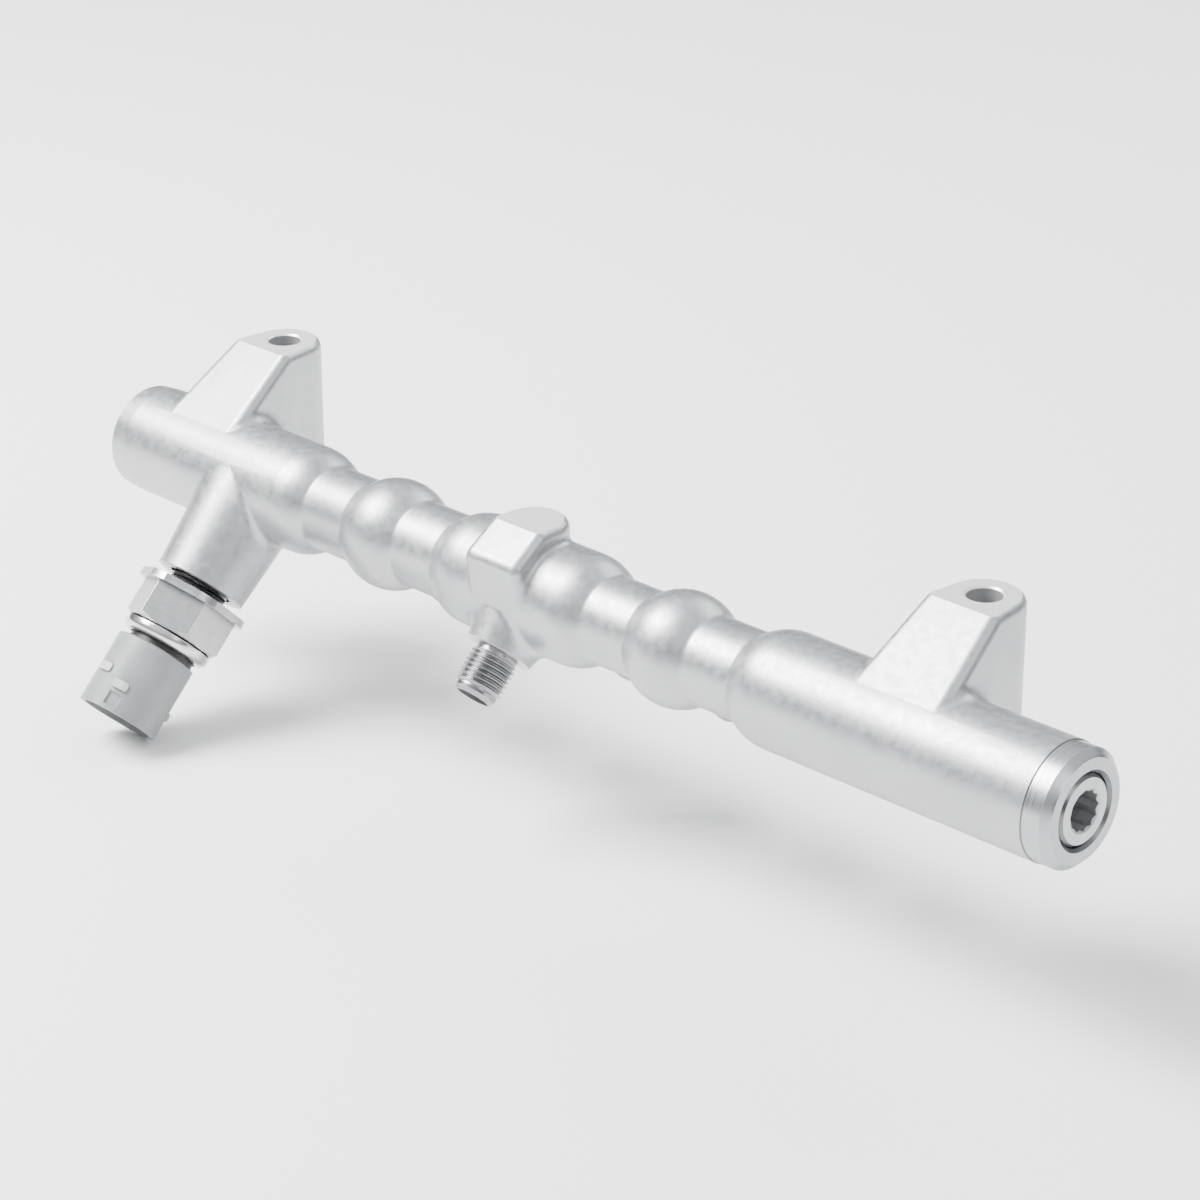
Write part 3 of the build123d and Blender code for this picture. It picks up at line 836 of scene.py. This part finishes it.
@dataclass(frozen=True)
class ThreadedConnector:
    """A screwed-in pipe connector with its cut thread, in place of the node's plain solid.

    Fields:
        node: the solid that it stands for.
        port: the port's frame.
        seat: where it starts, from the rail's axis.
        shank: radius of the plain shank.
        crest: radius over the thread.
        thread_start: where the thread starts.
        tip: where the piece ends.
        tip_length: plain length past the thread.
        run_out: length of the step from the thread down to the plain tip.
        tip_drop: how far the plain tip lies below the crest where it starts.
        nose_drop: how far it lies below the crest where the nose starts.
        nose_length: length of the nose's slope.
        lip: width of the flat ring round the mouth.
        pitch: the thread's pitch.
        depth: the thread's depth.
        steepness: how steep the thread's flanks are.
        land: what is shaved off the thread so that its crests are flat, as a share of the depth.
        end_share: the share of the depth to which the thread's two ends are turned down.
        mouth: radius of the sealing cone at the tip.
        bore: radius of the passage.
        pocket: radius of the pocket that holds the throttle.
        pocket_end: where the pocket ends.
        cone_angle: the cone's full angle in degrees.
        points_round: points round each row of the mesh.
        rows_per_pitch: rows of the mesh for each pitch of the thread.
    """

    node: str
    port: PortFrame
    seat: float = 12.5 * MM
    shank: float = 6.1 * MM
    crest: float = 7.0 * MM
    thread_start: float = 21.7 * MM
    tip: float = 35.0 * MM
    tip_length: float = 2.0 * MM
    run_out: float = 0.1 * MM
    tip_drop: float = 0.8 * MM
    nose_drop: float = 0.9 * MM
    nose_length: float = 1.2 * MM
    lip: float = 0.35 * MM
    pitch: float = 1.5 * MM
    depth: float = 0.92 * MM
    steepness: float = 1.35
    land: float = 0.12
    end_share: float = 0.98
    mouth: float = 5.0 * MM
    bore: float = 1.5 * MM
    pocket: float = 2.13 * MM
    pocket_end: float = 18.9 * MM
    cone_angle: float = 60.0
    points_round: int = 72
    rows_per_pitch: int = 14

    def outline(self) -> tuple[np.ndarray, np.ndarray]:
        """The closed outline before the thread is cut: up the outside, back down the bore.

        Returns:
            Radius and height of each row, in two columns, and whether each row is in the thread.
        """
        low, high = self.thread_start, self.tip - self.tip_length
        heights = np.linspace(low, high, int((high - low) / self.pitch * self.rows_per_pitch))
        cone = (self.mouth - self.bore) / math.tan(math.radians(self.cone_angle / 2))
        foot = [(self.pocket, self.seat), (self.shank, self.seat), (self.shank, low)]
        thread = np.column_stack([np.full(len(heights), self.crest), heights])
        nose = [(self.crest - self.tip_drop, high + self.run_out),
                (self.crest - self.nose_drop, self.tip - self.nose_length),
                (self.mouth + self.lip, self.tip), (self.mouth, self.tip)]
        passage = [(self.bore, self.tip - cone), (self.bore, self.pocket_end),
                   (self.pocket, self.pocket_end)]
        inside = len(nose) + len(passage)
        threaded = np.repeat([False, True, False], [len(foot), len(heights), inside])
        return np.concatenate([foot, thread, nose, passage]), threaded

    def points(self, outline: np.ndarray, threaded: np.ndarray) -> np.ndarray:
        """The surface's points, one row for each row of the outline.

        Rows in the thread have the radius crest - depth * (groove * fade + (1 - fade) * end share).
        The groove is a rounded saw of the phase height / pitch - angle / full turn, and fade goes
        from 0 to 1 over one pitch at both ends.

        Args:
            outline: radius and height of each row.
            threaded: whether each row is in the thread.

        Returns:
            An array of rows x points round x 3.
        """
        radius, height = outline[:, :1], outline[:, 1:]
        angle = np.linspace(0, math.tau, self.points_round, endpoint=False)[None, :]
        tooth = np.abs((height / self.pitch - angle / math.tau) % 1.0 - 0.5) * 2
        groove = np.clip((1 - tooth) * self.steepness - self.land, 0, 1)
        low, high = self.thread_start, self.tip - self.tip_length
        fade = (np.clip((height - low) / self.pitch, 0, 1)
                * np.clip((high - height) / self.pitch, 0, 1))
        share = groove * fade + (1 - fade) * self.end_share
        rings = radius - self.depth * threaded[:, None] * share
        return self.port.place(rings, np.broadcast_to(height, rings.shape),
                               np.broadcast_to(angle, rings.shape))

    def build(self, finish: bpy.types.Material) -> bpy.types.Object:
        """Makes the connector and lets it stand for its node.

        Args:
            finish: its material.

        Returns:
            The piece.
        """
        outline, threaded = self.outline()
        corners = np.flatnonzero(~threaded)
        piece = grid_mesh(self.node + "_threaded", self.points(outline, threaded), corners, finish)
        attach(piece, "root")
        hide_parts(self.node)
        LOG.info("%s stands for %s", piece.name, self.node)
        return piece


@dataclass(frozen=True)
class Lamp:
    """A soft square light that faces the origin.

    Fields:
        name: its name.
        place: where it stands, in metres.
        side: its side, in metres.
        power: its power, in watts.
    """

    name: str
    place: Place
    side: float
    power: float

    def build(self) -> None:
        """Makes the light."""
        lamp = bpy.data.lights.new(self.name, "AREA")
        lamp.shape = "SQUARE"
        lamp.size = self.side
        lamp.energy = self.power
        light = bpy.data.objects.new(self.name, lamp)
        light.location = self.place
        light.rotation_mode = "QUATERNION"
        light.rotation_quaternion = (-Vector(self.place)).to_track_quat("-Z", "Y")
        bpy.context.scene.collection.objects.link(light)


@dataclass(frozen=True)
class Studio:
    """The plain floor, the soft lights and the camera.

    Fields:
        eye: the camera's place, in metres.
        azimuth: the view's turn about the vertical, in degrees.
        elevation: its height above the horizon, in degrees.
        roll: its turn about the line of sight, in degrees.
        lens: the lens's focal length, in millimetres.
        sensor: the sensor's width, in millimetres.
        clip: the nearest and the farthest that the camera sees, in metres.
        floor_size: the floor's side, in metres.
        floor_dull: the darker of the floor's two colours.
        floor_pale: the paler one.
        floor_scale: patches of its faint cloud for each metre.
        floor_rough: its roughness.
        sky: the sky's colour.
        sky_low: the sky's strength at the horizon.
        sky_high: its strength from sky_reach upwards.
        sky_reach: the sine of the height above the horizon where it is reached.
        lamps: the soft lights.
    """

    eye: Place = (0.65354, -0.67736, 0.43174)
    azimuth: float = 44.063
    elevation: float = 24.412
    roll: float = -0.054
    lens: float = 108.285
    sensor: float = 36.0
    clip: tuple[float, float] = (0.05, 20.0)
    floor_size: float = 6.0
    floor_dull: Tone = (0.92, 0.92, 0.92)
    floor_pale: Tone = (0.94, 0.94, 0.94)
    floor_scale: float = 3.0
    floor_rough: float = 0.9
    sky: Tone = (0.95, 0.97, 1.0)
    sky_low: float = 0.04
    sky_high: float = 1.3
    sky_reach: float = 0.7
    lamps: tuple[Lamp, ...] = (
        Lamp("key", (-0.75, -0.55, 1.15), 0.8, 78.0),
        Lamp("fill", (1.3, -0.2, 0.9), 0.7, 5.0),
        Lamp("back", (0.1, 1.3, 1.0), 0.9, 12.0),
    )

    def build(self, floor_height: float) -> None:
        """Makes the floor, sky, lights and camera.

        Args:
            floor_height: the floor's height, in metres.
        """
        self.make_floor(floor_height)
        self.make_sky()
        for lamp in self.lamps:
            lamp.build()
        self.make_camera()
        LOG.info("floor, sky, %d lights and camera built", len(self.lamps))

    def make_floor(self, height: float) -> None:
        """A large plain pale floor.

        Args:
            height: its height, in metres.
        """
        half = self.floor_size / 2
        corners = [(-half, -half, height), (half, -half, height),
                   (half, half, height), (-half, half, height)]
        mesh = bpy.data.meshes.new("floor")
        mesh.from_pydata(corners, [], [(0, 1, 2, 3)])
        sketch = NodeSketch("pale_floor")
        cloud = sketch.noise(self.floor_scale, octaves=2.0)
        mesh.materials.append(sketch.shade({
            "Base Color": sketch.blend(cloud, rgba(self.floor_dull), rgba(self.floor_pale)),
            "Roughness": self.floor_rough,
        }))
        floor = bpy.data.objects.new("floor", mesh)
        bpy.context.scene.collection.objects.link(floor)
        floor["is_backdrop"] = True

    def make_sky(self) -> None:
        """A plain sky that is brighter overhead than at the horizon."""
        world = bpy.data.worlds.new("studio_sky")
        bpy.context.scene.world = world
        world.use_nodes = True
        tree = world.node_tree
        background = tree.nodes["Background"]
        where = tree.nodes.new("ShaderNodeTexCoord")
        height = tree.nodes.new("ShaderNodeSeparateXYZ")
        ramp = tree.nodes.new("ShaderNodeMapRange")
        ramp.inputs["From Max"].default_value = self.sky_reach
        ramp.inputs["To Min"].default_value = self.sky_low
        ramp.inputs["To Max"].default_value = self.sky_high
        tree.links.new(where.outputs["Generated"], height.inputs[0])
        tree.links.new(height.outputs["Z"], ramp.inputs["Value"])
        tree.links.new(ramp.outputs["Result"], background.inputs["Strength"])
        background.inputs["Color"].default_value = rgba(self.sky)

    def make_camera(self) -> None:
        """Sets the camera by its place and its view angles.

        Forward is (-sin a cos e, cos a cos e, -sin e), right is (cos a, sin a, 0), up is right x
        forward, and the last two are turned by the roll.
        """
        turn, lift, roll = (math.radians(v) for v in (self.azimuth, self.elevation, self.roll))
        forward = np.array([-math.sin(turn) * math.cos(lift), math.cos(turn) * math.cos(lift),
                            -math.sin(lift)])
        right = np.array([math.cos(turn), math.sin(turn), 0.0])
        up = np.cross(right, forward)
        matrix = np.eye(4)
        matrix[:3, 0] = right * math.cos(roll) + up * math.sin(roll)
        matrix[:3, 1] = up * math.cos(roll) - right * math.sin(roll)
        matrix[:3, 2] = -forward
        matrix[:3, 3] = self.eye
        data = bpy.data.cameras.new("camera")
        data.sensor_width = self.sensor
        data.lens = self.lens
        data.clip_start, data.clip_end = self.clip
        camera = bpy.data.objects.new("camera", data)
        camera.matrix_world = Matrix(matrix.tolist())
        bpy.context.scene.collection.objects.link(camera)
        bpy.context.scene.camera = camera


@dataclass(frozen=True)
class Rail:
    """The forging and the plug that closes its bore.

    Fields:
        forging: the forging's finish.
        plug: the plug's finish.
    """

    forging: PlatedForging = PlatedForging()
    # The plug's rim in its groove gets painted shade.
    plug: TurnedSteel = TurnedSteel(
        tone=(0.46, 0.465, 0.47), stain=(0.40, 0.405, 0.41), plain_within=6.1 * MM,
        shaded_beyond=8.87 * MM, shade_reach=1.2 * MM, shade_left=0.5)

    def dress(self, nodes: dict[str, bpy.types.Object]) -> None:
        """Gives both solids their finish."""
        dress(nodes, ["rail_body"], self.forging.make("plated_forging"))
        dress(nodes, ["end_plug"], self.plug.make("turned_plug", RAIL_AXIS, ALONG))


@dataclass(frozen=True)
class Ports:
    """The seven screwed-in connectors and the throttles pressed into their feet.

    Fields:
        steel: the finish of both.
        outlets: how many outlets there are.
    """

    # Painted near-black shade inside the connectors' cone mouths.
    steel: TurnedSteel = TurnedSteel(
        tone=(0.34, 0.34, 0.35), stain=(0.27, 0.27, 0.28), plain_within=4.97 * MM,
        shaded_within=4.97 * MM, recess_shade=(0.06, 0.06, 0.062))
    outlets: int = 6

    def build(self, nodes: dict[str, bpy.types.Object]) -> None:
        """Cuts the threads and dresses the throttles.

        Args:
            nodes: the solids by name.
        """
        self.build_port(nodes, "inlet", "", PortFrame.at(0.0, Side.FRONT))
        for number in range(1, self.outlets + 1):
            x = (number - (self.outlets + 1) / 2) * OUTLET_PITCH
            port = PortFrame.at(x, Side.BACK, OUTLET_LEAN)
            self.build_port(nodes, "outlet", f"_{number}", port)

    def build_port(self, nodes: dict[str, bpy.types.Object], kind: str, tail: str,
                   port: PortFrame) -> None:
        """Makes one connector and dresses its throttle.

        Args:
            nodes: the solids by name.
            kind: inlet or outlet.
            tail: what follows in the nodes' names.
            port: the port's frame.
        """
        finish = self.steel.make(f"{kind}_steel{tail}", port.centre, port.axis)
        ThreadedConnector(f"{kind}_connector{tail}", port).build(finish)
        dress(nodes, [f"{kind}_throttle{tail}"], finish)


@dataclass(frozen=True)
class PressureSensor:
    """The sensor: steel hexagon and port, rolled collar, plastic housing, and what is inside.

    Fields:
        port: finish of the threaded port with its flange.
        steel: finish of the hexagon and the element.
        collar: finish of the rolled collar.
        shell: finish of the plug housing.
        carrier: finish of the board's carrier.
        board: finish of the circuit board.
        seal: finish of the seal ring.
        contact: finish of the terminals.
    """

    # The port, hexagon and shell get strong painted shade in their recesses and at their joints.
    port: ThreadedShank = ThreadedShank(
        tone=(0.50, 0.50, 0.505), stain=(0.44, 0.44, 0.45), ring_depth=0.003 * MM,
        shade_reach=5.0 * MM, shade_left=0.12)
    steel: TurnedSteel = TurnedSteel(
        tone=(0.50, 0.50, 0.505), stain=(0.45, 0.45, 0.455), smooth=0.26, rough=0.34,
        ring_scale=2000.0, ring_depth=0.001 * MM, shade_reach=3.0 * MM, shade_left=0.12)
    collar: TurnedSteel = TurnedSteel(
        tone=(0.66, 0.66, 0.665), stain=(0.56, 0.56, 0.565), smooth=0.18, rough=0.28)
    shell: PlugShell = PlugShell(
        tone=(0.27, 0.275, 0.28), shade=(0.235, 0.24, 0.245), shade_reach=3.0 * MM, shade_left=0.12)
    carrier: Moulded = Moulded(tone=(0.2, 0.2, 0.2), shade=(0.16, 0.16, 0.16))
    board: Moulded = Moulded(
        tone=(0.03, 0.2, 0.08), shade=(0.02, 0.15, 0.06), smooth=0.2, rough=0.3)
    seal: Moulded = Moulded(tone=(0.03, 0.03, 0.03), shade=(0.02, 0.02, 0.02))
    contact: TurnedSteel = TurnedSteel(tone=(0.8, 0.8, 0.78), stain=(0.7, 0.7, 0.68))

    def dress(self, nodes: dict[str, bpy.types.Object]) -> None:
        """Gives each solid of the sensor its finish.

        Args:
            nodes: the solids by name.
        """
        axis = PortFrame.at(SENSOR_X, Side.FRONT)
        turned = [("port_steel", self.port, ["sensor_port"]),
                  ("hexagon_steel", self.steel, ["sensor_hex_body", "sensor_membrane"]),
                  ("collar_steel", self.collar, ["sensor_crimp_collar"]),
                  ("tinned_contact", self.contact, [f"sensor_terminal_{i}" for i in (1, 2, 3)])]
        for name, finish, solids in turned:
            dress(nodes, solids, finish.make(name, axis.centre, axis.axis))
        moulded = [("shell_plastic", self.shell, "sensor_connector"),
                   ("carrier_plastic", self.carrier, "sensor_board_carrier"),
                   ("board_lacquer", self.board, "sensor_circuit_board"),
                   ("seal_rubber", self.seal, "sensor_seal_ring")]
        for name, finish, solid in moulded:
            dress(nodes, [solid], finish.make(name))


def dress(nodes: dict[str, bpy.types.Object], names: list[str], finish: bpy.types.Material) -> None:
    """Gives solids their material through their own slots.

    Args:
        nodes: the solids by name.
        names: which of them.
        finish: the material.
    """
    for name in names:
        slots = nodes[name].material_slots
        for place in slots:
            place.material = finish
        if not slots:
            nodes[name].data.materials.append(finish)
        LOG.info("%s wears %s", name, finish.name)


def main() -> None:
    """Loads the frame, dresses the solids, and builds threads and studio."""
    logging.basicConfig(level=logging.INFO, format="%(name)s: %(message)s")
    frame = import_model()
    nodes = frame["nodes"]
    cad_low, cad_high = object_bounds()
    Rail().dress(nodes)
    Ports().build(nodes)
    PressureSensor().dress(nodes)
    Studio().build(cad_low.z)
    LOG.info("sizes written")


if __name__ == "__main__":
    main()
